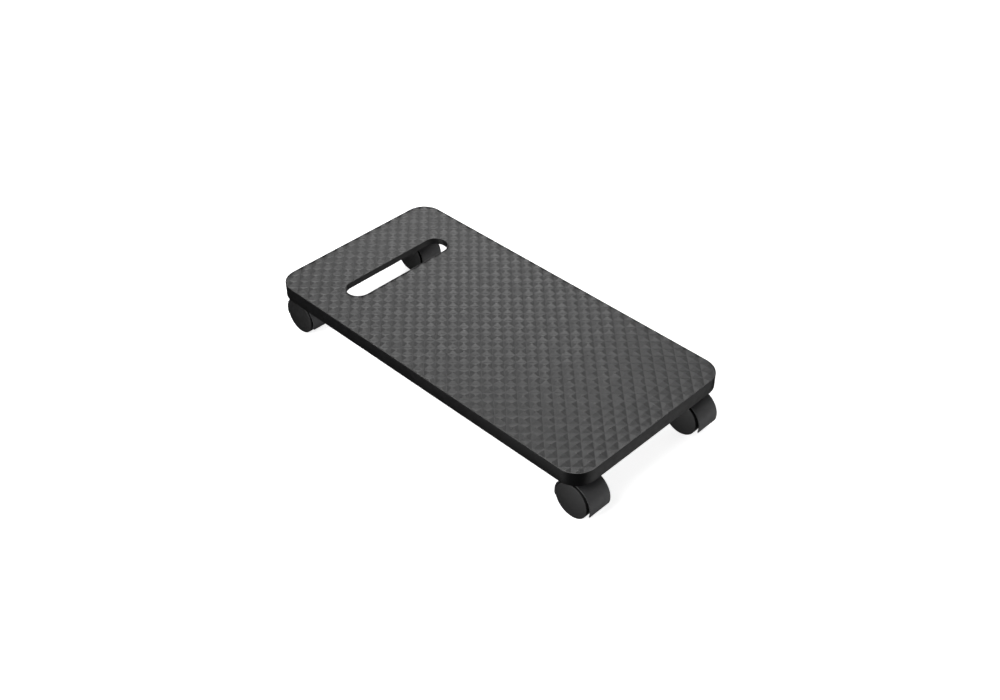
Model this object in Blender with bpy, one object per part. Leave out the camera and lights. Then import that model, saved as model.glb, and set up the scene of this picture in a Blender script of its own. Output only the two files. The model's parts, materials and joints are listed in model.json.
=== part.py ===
"""Wheeled computer stand: one moulded platform on four hooded twin-wheel casters.

Frame: metres, +Z up, origin on the floor under the middle of the platform.  +Y points to the
end with the handle slot, so the front is -Y, and left is -X as seen from the front.
"""

import math

import bmesh
import bpy
from mathutils import Matrix, Vector

MM = 0.001
GAP = 0.3 * MM                      # between two pieces that rest on or in each other
OVERLAP = 1.0 * MM                  # how far shapes reach into each other before they are joined

# Platform: a tray moulded upside down, with a skirt, a rib grid and four caster bosses
PLATE_WIDTH = 220 * MM
PLATE_LENGTH = 442 * MM
PLATE_TOP = 68 * MM                 # height of the top surface above the floor
PLATE_CORNER = 23.5 * MM
SKIRT_HEIGHT = 16.2 * MM
SKIRT_WALL = 2.5 * MM
SKIN = 3.0 * MM
RIB_WALL = 1.8 * MM
RIB_BOTTOM = PLATE_TOP - 10 * MM

# Handle slot near the rear end, with a shallow collar round it; the ribs stop outside the collar
SLOT_LENGTH = 141 * MM
SLOT_WIDTH = 28.4 * MM
SLOT_Y = 146 * MM
COLLAR_WALL = 2.2 * MM
COLLAR_BOTTOM = PLATE_TOP - 7.3 * MM
SLOT_TO_RIB = 6 * MM                # from the slot's long sides to the middle of the next rib

# Casters
STEM_X = 82.2 * MM
STEM_Y = 203.4 * MM
TRAIL = 1.0 * MM                    # from the swivel axis to the axle, towards +Y
WHEEL_RADIUS = 20 * MM
WHEEL_INNER_FACE = 7.0 * MM         # from the caster's middle plane
WHEEL_OUTER_EDGE = 15.2 * MM        # the outer face's edge, from the same plane
WHEEL_EDGE_ROUND = 0.6 * MM
WHEEL_CROWN = 1.0 * MM              # how far the outer face swells past its edge
HOOD_RADIUS = 23.1 * MM
HOOD_WALL = 1.5 * MM
HOOD_WIDTH = 29 * MM
HOOD_DROP = 7.8 * MM                # lower edge of the hood, below the axle
WEB_WALL = 5 * MM
NECK_RADIUS = 8 * MM
NECK_TOP = 45.6 * MM
COLUMN_RADIUS = 6.4 * MM
COLUMN_BOTTOM = 24 * MM

# Stem, and the socket in the platform's boss that takes its grip ring
FLANGE_RADIUS = 7 * MM
FLANGE_BOTTOM = NECK_TOP + GAP
FLANGE_TOP = FLANGE_BOTTOM + 1.5 * MM
BOSS_RADIUS = 9 * MM
BOSS_BOTTOM = FLANGE_TOP + GAP
SOCKET_RADIUS = 5.6 * MM
SOCKET_TOP = PLATE_TOP - 3.6 * MM
STEM_UPPER_RADIUS = 3.8 * MM
STEM_LOWER_RADIUS = 3.5 * MM
STEM_TOP = SOCKET_TOP - 0.4 * MM
STEM_BOTTOM = 27 * MM
STEM_CHAMFER = 0.6 * MM
GRIP_GROOVE_RADIUS = 3.3 * MM
GRIP_GROOVE = (50 * MM, 61.5 * MM)
CLIP_GROOVE_RADIUS = 2.7 * MM
CLIP_GROOVE = (29 * MM, 30.3 * MM)
CLIP_RADIUS = 4.6 * MM
CLIP_POCKET_RADIUS = 4.9 * MM
CLIP_POCKET = (28.6 * MM, 30.7 * MM)

# Axle and the bores it runs in
AXLE_RADIUS = 2.5 * MM
AXLE_HALF_LENGTH = 13.2 * MM
AXLE_CHAMFER = 0.4 * MM
AXLE_GROOVE_RADIUS = 2.0 * MM
AXLE_GROOVE = (9.8 * MM, 10.8 * MM)
AXLE_BORE_RADIUS = AXLE_RADIUS + GAP
AXLE_BOSS_RADIUS = 5.5 * MM

# Inside of the wheel
HUB_RADIUS = 5.0 * MM
RIM_INSIDE = 17.3 * MM
FACE_WALL = 1.8 * MM

# How finely the curves are divided
CORNER_STEPS = 6
SLOT_STEPS = 10
HOOD_STEPS = 24
WHEEL_STEPS = 28
SHAFT_STEPS = 16
SMOOTH_ANGLE = math.radians(35)

# name: (sideways, lengthways) direction of each caster from the middle of the platform
CASTERS = {
    "front_left": (-1, -1),
    "front_right": (1, -1),
    "rear_left": (-1, 1),
    "rear_right": (1, 1),
}


# ---------------------------------------------------------------- scene and materials

def clear_scene():
    for old in list(bpy.data.objects):
        bpy.data.objects.remove(old, do_unlink=True)


def plain_material(name, colour, roughness, metallic):
    made = bpy.data.materials.new(name)
    made.use_nodes = True
    shader = made.node_tree.nodes["Principled BSDF"]
    shader.inputs["Base Color"].default_value = (*colour, 1.0)
    shader.inputs["Roughness"].default_value = roughness
    shader.inputs["Metallic"].default_value = metallic
    return made


def add_object(name, mesh, material=None, parent=None, place=(0, 0, 0)):
    """Link a mesh as an object; one without a material is a cutter and isn't built."""
    made = bpy.data.objects.new(name, mesh)
    bpy.context.collection.objects.link(made)
    made.location = place
    made.parent = parent
    if material:
        mesh.materials.append(material)
    else:
        made.hide_render = True
        made.display_type = "WIRE"
    return made


def add_empty(name, place, parent=None):
    made = bpy.data.objects.new(name, None)
    bpy.context.collection.objects.link(made)
    made.location = place
    made.parent = parent
    return made


def combine(target, operation, other):
    step = target.modifiers.new(operation.lower() + "_" + other.name, "BOOLEAN")
    step.operation = operation
    step.object = other


# ---------------------------------------------------------------- outlines

def arc(centre, radius, start, end, steps):
    """Points on an arc, both ends included; the angles are in radians."""
    turn = (end - start) / steps
    angles = [start + turn * index for index in range(steps + 1)]
    return [(centre[0] + radius * math.cos(angle), centre[1] + radius * math.sin(angle))
            for angle in angles]


def rounded_rectangle(width, length, corner):
    outline = []
    quarter = math.pi / 2
    for index, (side, end) in enumerate(((1, 1), (-1, 1), (-1, -1), (1, -1))):
        centre = (side * (width / 2 - corner), end * (length / 2 - corner))
        outline += arc(centre, corner, index * quarter, (index + 1) * quarter, CORNER_STEPS)
    return outline


def slot_outline(margin):
    """The handle slot's outline, grown by a margin: two half circles and straight sides."""
    radius = SLOT_WIDTH / 2 + margin
    reach = (SLOT_LENGTH - SLOT_WIDTH) / 2
    quarter = math.pi / 2
    right = arc((reach, SLOT_Y), radius, -quarter, quarter, SLOT_STEPS)
    left = arc((-reach, SLOT_Y), radius, quarter, 3 * quarter, SLOT_STEPS)
    return right + left


# ---------------------------------------------------------------- solids

def finish_mesh(name, solid):
    bmesh.ops.recalc_face_normals(solid, faces=solid.faces)
    mesh = bpy.data.meshes.new(name)
    solid.to_mesh(mesh)
    solid.free()
    mesh.shade_smooth()
    mesh.set_sharp_from_angle(angle=SMOOTH_ANGLE)
    return mesh


def add_prism(solid, outline, bottom, top):
    """Extrude an outline in X and Y from one height to another."""
    base = solid.faces.new([solid.verts.new((x, y, bottom)) for x, y in outline])
    grown = bmesh.ops.extrude_face_region(solid, geom=[base])["geom"]
    lifted = [item for item in grown if isinstance(item, bmesh.types.BMVert)]
    bmesh.ops.translate(solid, verts=lifted, vec=Vector((0, 0, top - bottom)))


def prism_mesh(name, outline, bottom, top):
    solid = bmesh.new()
    add_prism(solid, outline, bottom, top)
    return finish_mesh(name, solid)


def box_outline(centre, size):
    half_x = size[0] / 2
    half_y = size[1] / 2
    return [(centre[0] + side * half_x, centre[1] + end * half_y)
            for side, end in ((-1, -1), (1, -1), (1, 1), (-1, 1))]


def turned_mesh(name, profile, steps, closed=False, opening=0.0, facing="+Z"):
    """Turn (radius, height) points round Z, then point the axis along +Z, +X or -X.

    A closed profile makes a ring.  An opening in radians leaves the ring split, with flat ends.
    A point on the axis makes a pole, so an open profile starts and ends on the axis.
    """
    solid = bmesh.new()
    half_step = math.pi / steps
    whole = opening == 0.0
    count = steps if whole else steps + 1
    turn = 2 * half_step if whole else (2 * math.pi - opening) / steps
    start = half_step if whole else opening / 2
    rings = []
    for radius, height in profile:
        if radius == 0:
            rings.append([solid.verts.new((0, 0, height))] * count)
            continue
        angles = [start + turn * index for index in range(count)]
        rings.append([solid.verts.new((radius * math.cos(angle), radius * math.sin(angle), height))
                      for angle in angles])
    pairs = list(zip(rings, rings[1:]))
    if closed:
        pairs.append((rings[-1], rings[0]))
    for lower, upper in pairs:
        for index in range(steps):
            after = (index + 1) % count
            corners = [lower[index], lower[after], upper[after], upper[index]]
            solid.faces.new(list(dict.fromkeys(corners)))
    if not whole:
        solid.faces.new([ring[0] for ring in rings])
        solid.faces.new([ring[-1] for ring in rings])
    quarter = {"+Z": 0.0, "+X": math.pi / 2, "-X": -math.pi / 2}[facing]
    bmesh.ops.rotate(solid, verts=solid.verts, cent=(0, 0, 0), matrix=Matrix.Rotation(quarter, 3, "Y"))
    return finish_mesh(name, solid)


def cylinder_profile(radius, bottom, top):
    return [(0, bottom), (radius, bottom), (radius, top), (0, top)]


def side_prism_mesh(name, outline, half_width):
    """Extrude a side view, given as (y, z) points, to both sides of the X = 0 plane."""
    solid = bmesh.new()
    add_prism(solid, outline, -half_width, half_width)
    for vert in solid.verts:
        vert.co = (vert.co.z, vert.co.x, vert.co.y)
    return finish_mesh(name, solid)


# ---------------------------------------------------------------- platform

def rib_rows():
    """Y of the cross ribs: even bays up to the slot, one behind it, and one at the rear bosses."""
    from_slot = SLOT_WIDTH / 2 + SLOT_TO_RIB
    bays = 8
    bay = (SLOT_Y - from_slot + STEM_Y) / bays
    front_rows = [-STEM_Y + bay * index for index in range(bays + 1)]
    return front_rows + [SLOT_Y + from_slot, STEM_Y]


def rib_columns():
    """X of the long ribs: the middle, the bosses, and halfway between."""
    return [STEM_X * part for part in (-1, -0.5, 0, 0.5, 1)]


def rib_cutter(name, centres, size):
    solid = bmesh.new()
    for centre in centres:
        add_prism(solid, box_outline(centre, size), RIB_BOTTOM, PLATE_TOP)
    return add_object(name, finish_mesh(name, solid))


def boss_centres():
    return [(side * STEM_X, end * STEM_Y) for side, end in CASTERS.values()]


def boss_cutter(name, radius, bottom, top):
    solid = bmesh.new()
    for centre in boss_centres():
        ring = arc(centre, radius, 0, 2 * math.pi, SHAFT_STEPS)[:-1]
        add_prism(solid, ring, bottom, top)
    return add_object(name, finish_mesh(name, solid))


def build_platform(material):
    skirt_bottom = PLATE_TOP - SKIRT_HEIGHT
    skin_bottom = PLATE_TOP - SKIN
    outer = rounded_rectangle(PLATE_WIDTH, PLATE_LENGTH, PLATE_CORNER)
    inner = rounded_rectangle(PLATE_WIDTH - 2 * SKIRT_WALL, PLATE_LENGTH - 2 * SKIRT_WALL,
                              PLATE_CORNER - SKIRT_WALL)

    # The hollow under the skin, less everything that stands in it
    hollow = add_object("hollow", prism_mesh("hollow", inner, skirt_bottom - OVERLAP, skin_bottom))
    long_size = (RIB_WALL, PLATE_LENGTH)
    cross_size = (PLATE_WIDTH, RIB_WALL)
    long_ribs = rib_cutter("long_ribs", [(x, 0) for x in rib_columns()], long_size)
    cross_ribs = rib_cutter("cross_ribs", [(0, y) for y in rib_rows()], cross_size)
    around_slot = slot_outline(COLLAR_WALL)
    collar = add_object("slot_collar", prism_mesh("slot_collar", around_slot, COLLAR_BOTTOM,
                                                  PLATE_TOP))
    under_collar = add_object("under_collar", prism_mesh("under_collar", around_slot,
                                                         skirt_bottom - OVERLAP, COLLAR_BOTTOM))
    bosses = boss_cutter("bosses", BOSS_RADIUS, BOSS_BOTTOM, PLATE_TOP - OVERLAP)
    for standing in (long_ribs, cross_ribs, bosses):
        combine(hollow, "DIFFERENCE", standing)
    combine(hollow, "UNION", under_collar)
    combine(hollow, "DIFFERENCE", collar)

    platform = add_object("platform", prism_mesh("platform", outer, skirt_bottom, PLATE_TOP),
                          material)
    combine(platform, "DIFFERENCE", hollow)
    combine(platform, "UNION", bosses)

    slot = add_object("slot", prism_mesh("slot", slot_outline(0), skirt_bottom - OVERLAP,
                                         PLATE_TOP + OVERLAP))
    sockets = boss_cutter("sockets", SOCKET_RADIUS, BOSS_BOTTOM - OVERLAP, SOCKET_TOP)
    combine(platform, "DIFFERENCE", slot)
    combine(platform, "DIFFERENCE", sockets)


# ---------------------------------------------------------------- casters

def build_stem(name, parent, material):
    profile = [
        (0, STEM_BOTTOM),
        (STEM_LOWER_RADIUS - STEM_CHAMFER, STEM_BOTTOM),
        (STEM_LOWER_RADIUS, STEM_BOTTOM + STEM_CHAMFER),
        (STEM_LOWER_RADIUS, CLIP_GROOVE[0]),
        (CLIP_GROOVE_RADIUS, CLIP_GROOVE[0]),
        (CLIP_GROOVE_RADIUS, CLIP_GROOVE[1]),
        (STEM_LOWER_RADIUS, CLIP_GROOVE[1]),
        (STEM_LOWER_RADIUS, FLANGE_BOTTOM),
        (FLANGE_RADIUS, FLANGE_BOTTOM),
        (FLANGE_RADIUS, FLANGE_TOP),
        (STEM_UPPER_RADIUS, FLANGE_TOP),
        (STEM_UPPER_RADIUS, GRIP_GROOVE[0]),
        (GRIP_GROOVE_RADIUS, GRIP_GROOVE[0]),
        (GRIP_GROOVE_RADIUS, GRIP_GROOVE[1]),
        (STEM_UPPER_RADIUS, GRIP_GROOVE[1]),
        (STEM_UPPER_RADIUS, STEM_TOP - STEM_CHAMFER),
        (STEM_UPPER_RADIUS - STEM_CHAMFER, STEM_TOP),
        (0, STEM_TOP),
    ]
    add_object(name, turned_mesh(name, profile, SHAFT_STEPS), material, parent)


def build_split_ring(name, radii, heights, opening, parent, material):
    inner, outer = radii
    low, high = heights
    profile = [(inner, low), (outer, low), (outer, high), (inner, high)]
    mesh = turned_mesh(name, profile, SHAFT_STEPS, closed=True, opening=opening)
    add_object(name, mesh, material, parent)


def build_housing(name, parent, material):
    """Hood, middle web, column for the stem and boss for the axle, moulded in one piece."""
    middle = (0, WHEEL_RADIUS)
    dip = math.asin(HOOD_DROP / HOOD_RADIUS)
    inner_radius = HOOD_RADIUS - HOOD_WALL
    inner_dip = math.asin(HOOD_DROP / inner_radius)
    outer_arc = arc(middle, HOOD_RADIUS, -dip, math.pi + dip, HOOD_STEPS)
    inner_arc = arc(middle, inner_radius, math.pi + inner_dip, -inner_dip, HOOD_STEPS)
    mesh = side_prism_mesh(name, outer_arc + inner_arc, HOOD_WIDTH / 2)
    housing = add_object(name, mesh, material, parent)

    web_radius = inner_radius + HOOD_WALL / 2
    web_dip = math.asin(HOOD_DROP / web_radius)
    web_arc = arc(middle, web_radius, -web_dip, math.pi + web_dip, HOOD_STEPS)
    axle_place = (0, TRAIL, WHEEL_RADIUS)
    column = [(0, COLUMN_BOTTOM), (COLUMN_RADIUS, COLUMN_BOTTOM),
              (COLUMN_RADIUS, WHEEL_RADIUS + inner_radius - OVERLAP),
              (NECK_RADIUS, WHEEL_RADIUS + inner_radius - OVERLAP),
              (NECK_RADIUS, NECK_TOP), (0, NECK_TOP)]
    stem_bore = [(0, STEM_BOTTOM - GAP), (STEM_LOWER_RADIUS + GAP, STEM_BOTTOM - GAP),
                 (STEM_LOWER_RADIUS + GAP, CLIP_POCKET[0]), (CLIP_POCKET_RADIUS, CLIP_POCKET[0]),
                 (CLIP_POCKET_RADIUS, CLIP_POCKET[1]), (STEM_LOWER_RADIUS + GAP, CLIP_POCKET[1]),
                 (STEM_LOWER_RADIUS + GAP, NECK_TOP + OVERLAP), (0, NECK_TOP + OVERLAP)]
    axle_boss = cylinder_profile(AXLE_BOSS_RADIUS, -COLUMN_RADIUS, COLUMN_RADIUS)
    axle_bore = cylinder_profile(AXLE_BORE_RADIUS, -COLUMN_RADIUS - OVERLAP,
                                 COLUMN_RADIUS + OVERLAP)

    web = add_object(name + "_web", side_prism_mesh("web", web_arc, WEB_WALL / 2), None, parent)
    post = add_object(name + "_column", turned_mesh("column", column, SHAFT_STEPS), None, parent)
    boss = add_object(name + "_axle_boss",
                      turned_mesh("axle_boss", axle_boss, SHAFT_STEPS, facing="+X"),
                      None, parent, axle_place)
    bore = add_object(name + "_stem_bore", turned_mesh("stem_bore", stem_bore, SHAFT_STEPS),
                      None, parent)
    hole = add_object(name + "_axle_bore",
                      turned_mesh("axle_bore", axle_bore, SHAFT_STEPS, facing="+X"),
                      None, parent, axle_place)
    for added in (web, post, boss):
        combine(housing, "UNION", added)
    for removed in (bore, hole):
        combine(housing, "DIFFERENCE", removed)


def build_axle(name, parent, material):
    half = [
        (AXLE_RADIUS, AXLE_GROOVE[0]),
        (AXLE_GROOVE_RADIUS, AXLE_GROOVE[0]),
        (AXLE_GROOVE_RADIUS, AXLE_GROOVE[1]),
        (AXLE_RADIUS, AXLE_GROOVE[1]),
        (AXLE_RADIUS, AXLE_HALF_LENGTH - AXLE_CHAMFER),
        (AXLE_RADIUS - AXLE_CHAMFER, AXLE_HALF_LENGTH),
        (0, AXLE_HALF_LENGTH),
    ]
    profile = [(radius, -height) for radius, height in reversed(half)] + half
    add_object(name, turned_mesh(name, profile, SHAFT_STEPS, facing="+X"), material, parent)


def build_wheel(name, side, parent, material):
    """A hollow wheel, open to the caster's middle, with a hub and a closed outer face.

    The rim is a polygon with its flats on the rolling radius, so that it stands on a flat.
    """
    rim = WHEEL_RADIUS / math.cos(math.pi / WHEEL_STEPS)
    inner = WHEEL_INNER_FACE
    outer = WHEEL_OUTER_EDGE
    face = rim - WHEEL_EDGE_ROUND
    profile = [
        (0, AXLE_HALF_LENGTH + GAP),
        (AXLE_BORE_RADIUS, AXLE_HALF_LENGTH + GAP),
        (AXLE_BORE_RADIUS, inner),
        (HUB_RADIUS, inner),
        (HUB_RADIUS, outer - FACE_WALL),
        (RIM_INSIDE - 0.5 * MM, outer - FACE_WALL),
        (RIM_INSIDE, inner),
        (face, inner),
        (rim, inner + WHEEL_EDGE_ROUND),
        (rim, outer - WHEEL_EDGE_ROUND),
        (face, outer),
        (face / 2, outer + WHEEL_CROWN * 0.75),
        (0, outer + WHEEL_CROWN),
    ]
    facing = "+X" if side > 0 else "-X"
    add_object(name, turned_mesh(name, profile, WHEEL_STEPS, facing=facing), material, parent)


def build_caster(name, direction, plastics, metal):
    housing_plastic, wheel_plastic = plastics
    side, end = direction
    swivel = add_empty(name + "_swivel", (side * STEM_X, end * STEM_Y, 0))
    axis = add_empty(name + "_axle_line", (0, TRAIL, WHEEL_RADIUS), swivel)
    build_stem(name + "_stem", swivel, metal)
    build_split_ring(name + "_grip_ring", (GRIP_GROOVE_RADIUS + GAP, SOCKET_RADIUS - GAP),
                     (GRIP_GROOVE[0] + GAP, GRIP_GROOVE[1] - GAP), math.radians(20), swivel, metal)
    build_split_ring(name + "_stem_clip", (CLIP_GROOVE_RADIUS + GAP, CLIP_RADIUS),
                     (CLIP_GROOVE[0] + GAP, CLIP_GROOVE[1] - GAP), math.radians(70), swivel, metal)
    build_housing(name + "_housing", swivel, housing_plastic)
    build_axle(name + "_axle", axis, metal)
    build_wheel(name + "_outer_wheel", side, axis, wheel_plastic)
    build_wheel(name + "_inner_wheel", -side, axis, wheel_plastic)


def main():
    clear_scene()
    platform_plastic = plain_material("black_abs", (0.030, 0.030, 0.032), 0.55, 0.0)
    housing_plastic = plain_material("black_nylon", (0.028, 0.028, 0.030), 0.45, 0.0)
    wheel_plastic = plain_material("wheel_nylon", (0.024, 0.024, 0.025), 0.50, 0.0)
    steel = plain_material("zinc_plated_steel", (0.62, 0.62, 0.60), 0.32, 1.0)
    build_platform(platform_plastic)
    for name, direction in CASTERS.items():
        build_caster(name, direction, (housing_plastic, wheel_plastic), steel)


main()
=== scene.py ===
"""Looks of the wheeled computer stand: one textured black platform on four hooded casters."""

import json
import math

import bmesh
import bpy
from mathutils import Matrix, Quaternion, Vector


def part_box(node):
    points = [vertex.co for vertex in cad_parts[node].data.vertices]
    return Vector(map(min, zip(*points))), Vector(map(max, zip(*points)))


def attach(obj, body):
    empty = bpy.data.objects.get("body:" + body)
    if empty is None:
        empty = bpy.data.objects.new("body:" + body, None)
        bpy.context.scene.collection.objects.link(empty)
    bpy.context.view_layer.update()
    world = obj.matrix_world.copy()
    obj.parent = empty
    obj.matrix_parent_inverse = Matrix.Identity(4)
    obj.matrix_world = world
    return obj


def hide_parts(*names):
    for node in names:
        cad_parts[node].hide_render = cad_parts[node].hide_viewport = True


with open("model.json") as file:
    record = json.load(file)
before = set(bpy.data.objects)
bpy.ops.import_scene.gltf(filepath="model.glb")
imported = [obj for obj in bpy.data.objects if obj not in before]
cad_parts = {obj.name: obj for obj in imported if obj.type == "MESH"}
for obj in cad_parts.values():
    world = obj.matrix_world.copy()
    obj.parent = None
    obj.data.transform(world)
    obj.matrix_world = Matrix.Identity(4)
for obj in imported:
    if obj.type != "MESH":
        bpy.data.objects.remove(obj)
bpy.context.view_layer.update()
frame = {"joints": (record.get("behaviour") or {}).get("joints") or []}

MM = 0.001
QUARTER = math.pi / 2

# Platform, measured down from the top surface of the CAD node
PLATE_CORNER = 23.5 * MM
SKIRT_HEIGHT = 16.2 * MM
SKIRT_WALL = 2.5 * MM
SKIN = 3.0 * MM
EDGE_ROUND = 0.25 * MM
RIB_ROOT = 1.9 * MM
RIB_TIP = 1.5 * MM
RIB_DEPTH = 10 * MM
BOSS_RADIUS = 9 * MM
SOCKET_RADIUS = 5.6 * MM
SOCKET_SKIN = 3.6 * MM
SLOT_LENGTH = 141 * MM
SLOT_WIDTH = 28.4 * MM
SLOT_Y = 146 * MM
SLOT_TO_RIB = 6 * MM
COLLAR_WALL = 2.2 * MM
COLLAR_DEPTH = 7.3 * MM

# Moulded pyramids: a square grid turned by 45 degrees, given by its diagonals
PYRAMID_X = 16.14 * MM
PYRAMID_Y = 16.63 * MM
PYRAMID_HEIGHT = 1.0 * MM
PYRAMID_CENTRE = (-3.2 * MM, 4.55 * MM)
PYRAMID_BASE = 0.94             # share of the cell that the pyramid covers, less its groove
PYRAMID_TIP = 0.06              # share that is left flat on top
TIP_BELOW_RIM = 0.02 * MM
RIM_WIDTH = 0.6 * MM            # plain border at the platform's edge and round the slot
RIM_SLOPE = 0.6 * MM            # width of the slope from the border down to the grooves

# Casters, in each caster's own frame: the swivel axis is X = Y = 0 and the floor is Z = 0
HOOD_WALL = 1.5 * MM
HOOD_WIDTH = 29 * MM
HOOD_DROP = 7.8 * MM
HOOD_CORNER = 2.2 * MM
WEB_WALL = 5 * MM
NECK_RADIUS = 8 * MM
COLUMN_RADIUS = 6.4 * MM
COLUMN_BOTTOM = 24 * MM
AXLE_BOSS_RADIUS = 5.5 * MM
AXLE_BORE_RADIUS = 2.8 * MM
STEM_BORE_RADIUS = 3.8 * MM
CLIP_POCKET_RADIUS = 4.9 * MM
CLIP_POCKET_MARGIN = 0.7 * MM
WHEEL_HUB_RADIUS = 5.0 * MM
WHEEL_RIM_INSIDE = 16.8 * MM
WHEEL_EDGE_ROUND = 0.6 * MM
WHEEL_CROWN = 1.0 * MM          # how far the outer face swells past its edge
WHEEL_SPOKES = 6
HOOD_CRISP = 0.28               # share of the hood's wall that each outer edge is rounded by
HOOD_ROUND = 0.66               # and each inner edge
HOOD_THINNING = 0.35            # share of the wall lost from each side at the hood's very ends
FLANGE_THICK = 1.5 * MM
FLANGE_RADIUS = 6.85 * MM
GRIP_RING_BORE = 3.6 * MM
CLIP_BORE = 3.0 * MM
CLIP_RADIUS = 4.6 * MM
GAP = 0.3 * MM
REACH = 1.0 * MM                # how far shapes reach into each other before they are joined
SLIVER = 0.004 * MM             # points closer than this are merged after a Boolean step

# Fineness of the curves
CORNER_STEPS = 20
SLOT_STEPS = 36
HOOD_STEPS = 72
WHEEL_STEPS = 96
SHAFT_STEPS = 48
EDGE_STEPS = 5
SLOT_EDGE_STEPS = 4
HOOD_CORNER_STEPS = 6
FACE_STEPS = 12
SMOOTH_ANGLE = math.radians(35)

hood_low, hood_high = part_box("front_left_housing")
HOOD_RADIUS = (hood_high.y - hood_low.y) / 2

CASTERS = ("front_left", "front_right", "rear_left", "rear_right")
JOINTS = {joint["name"]: joint for joint in frame["joints"]}


# ---------------------------------------------------------------- meshes

def link(name, mesh, place=(0, 0, 0)):
    made = bpy.data.objects.new(name, mesh)
    bpy.context.scene.collection.objects.link(made)
    made.location = place
    return made


def finish_mesh(name, solid):
    bmesh.ops.recalc_face_normals(solid, faces=solid.faces)
    mesh = bpy.data.meshes.new(name)
    solid.to_mesh(mesh)
    solid.free()
    mesh.shade_smooth()
    mesh.set_sharp_from_angle(angle=SMOOTH_ANGLE)
    return mesh


def add_loft(solid, rings):
    """Skin a stack of equally long rings of points, and cap both ends."""
    made = [[solid.verts.new(point) for point in ring] for ring in rings]
    count = len(made[0])
    for lower, upper in zip(made, made[1:]):
        for index in range(count):
            after = (index + 1) % count
            solid.faces.new((lower[index], lower[after], upper[after], upper[index]))
    solid.faces.new(made[0])
    solid.faces.new(made[-1])


def loft_mesh(name, rings):
    solid = bmesh.new()
    add_loft(solid, rings)
    return finish_mesh(name, solid)


def raise_outline(outline, height):
    return [(x, y, height) for x, y in outline]


def turned_mesh(name, profile, steps, closed=False, opening=0.0, facing="+Z"):
    """Turn (radius, height) points round Z, then point the axis along +Z, +X or -X."""
    solid = bmesh.new()
    whole = opening == 0.0
    count = steps if whole else steps + 1
    turn = (2 * math.pi - opening) / steps
    rings = []
    for radius, height in profile:
        if radius == 0:
            rings.append([solid.verts.new((0, 0, height))] * count)
            continue
        angles = [opening / 2 + turn * index for index in range(count)]
        rings.append([solid.verts.new((radius * math.cos(angle), radius * math.sin(angle), height))
                      for angle in angles])
    pairs = list(zip(rings, rings[1:]))
    if closed:
        pairs.append((rings[-1], rings[0]))
    for lower, upper in pairs:
        for index in range(steps):
            after = (index + 1) % count
            corners = [lower[index], lower[after], upper[after], upper[index]]
            solid.faces.new(list(dict.fromkeys(corners)))
    if not whole:
        solid.faces.new([ring[0] for ring in rings])
        solid.faces.new([ring[-1] for ring in rings])
    tilt = {"+Z": 0.0, "+X": QUARTER, "-X": -QUARTER}[facing]
    bmesh.ops.rotate(solid, verts=solid.verts, cent=(0, 0, 0), matrix=Matrix.Rotation(tilt, 3, "Y"))
    return finish_mesh(name, solid)


def clean_mesh(mesh):
    """Close up the slivers that Boolean steps leave, and drop faces that join nothing."""
    solid = bmesh.new()
    solid.from_mesh(mesh)
    bmesh.ops.remove_doubles(solid, verts=solid.verts, dist=SLIVER)
    bmesh.ops.dissolve_degenerate(solid, edges=solid.edges, dist=SLIVER)
    stray = [face for face in solid.faces if all(len(edge.link_faces) < 2 for edge in face.edges)]
    bmesh.ops.delete(solid, geom=stray, context="FACES")
    solid.to_mesh(mesh)
    solid.free()


def carve(target, steps):
    """Run Boolean steps on an object, keep the result as its mesh, and delete the tools."""
    for operation, tool in steps:
        modifier = target.modifiers.new(tool.name, "BOOLEAN")
        modifier.operation = operation
        modifier.object = tool
    bpy.context.view_layer.update()
    evaluated = target.evaluated_get(bpy.context.evaluated_depsgraph_get())
    mesh = bpy.data.meshes.new_from_object(evaluated)
    target.modifiers.clear()
    target.data = mesh
    clean_mesh(mesh)
    for operation, tool in steps:
        bpy.data.objects.remove(tool)
    return target


def rounded(profile_end, radius):
    """Points of a quarter round on a turned profile, from the flat at the top to the side."""
    edge, height = profile_end
    return [(edge - radius + radius * math.sin(QUARTER * index / EDGE_STEPS),
             height - radius + radius * math.cos(QUARTER * index / EDGE_STEPS))
            for index in range(EDGE_STEPS + 1)]


# ---------------------------------------------------------------- outlines

def arc(centre, radius, start, end, steps):
    turn = (end - start) / steps
    return [(centre[0] + radius * math.cos(start + turn * index),
             centre[1] + radius * math.sin(start + turn * index)) for index in range(steps + 1)]


def plate_outline(size, inset):
    """The platform's rounded rectangle, drawn in from its outer edge."""
    outline = []
    for index, (side, end) in enumerate(((1, 1), (-1, 1), (-1, -1), (1, -1))):
        centre = (side * (size.x / 2 - PLATE_CORNER), end * (size.y / 2 - PLATE_CORNER))
        outline += arc(centre, PLATE_CORNER - inset, index * QUARTER, (index + 1) * QUARTER,
                       CORNER_STEPS)
    return outline


def slot_outline(margin):
    radius = SLOT_WIDTH / 2 + margin
    reach = (SLOT_LENGTH - SLOT_WIDTH) / 2
    right = arc((reach, SLOT_Y), radius, -QUARTER, QUARTER, SLOT_STEPS)
    left = arc((-reach, SLOT_Y), radius, QUARTER, 3 * QUARTER, SLOT_STEPS)
    return right + left


def box_outline(centre, size):
    return [(centre[0] + side * size[0] / 2, centre[1] + end * size[1] / 2)
            for side, end in ((-1, -1), (1, -1), (1, 1), (-1, 1))]


# ---------------------------------------------------------------- platform

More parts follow.
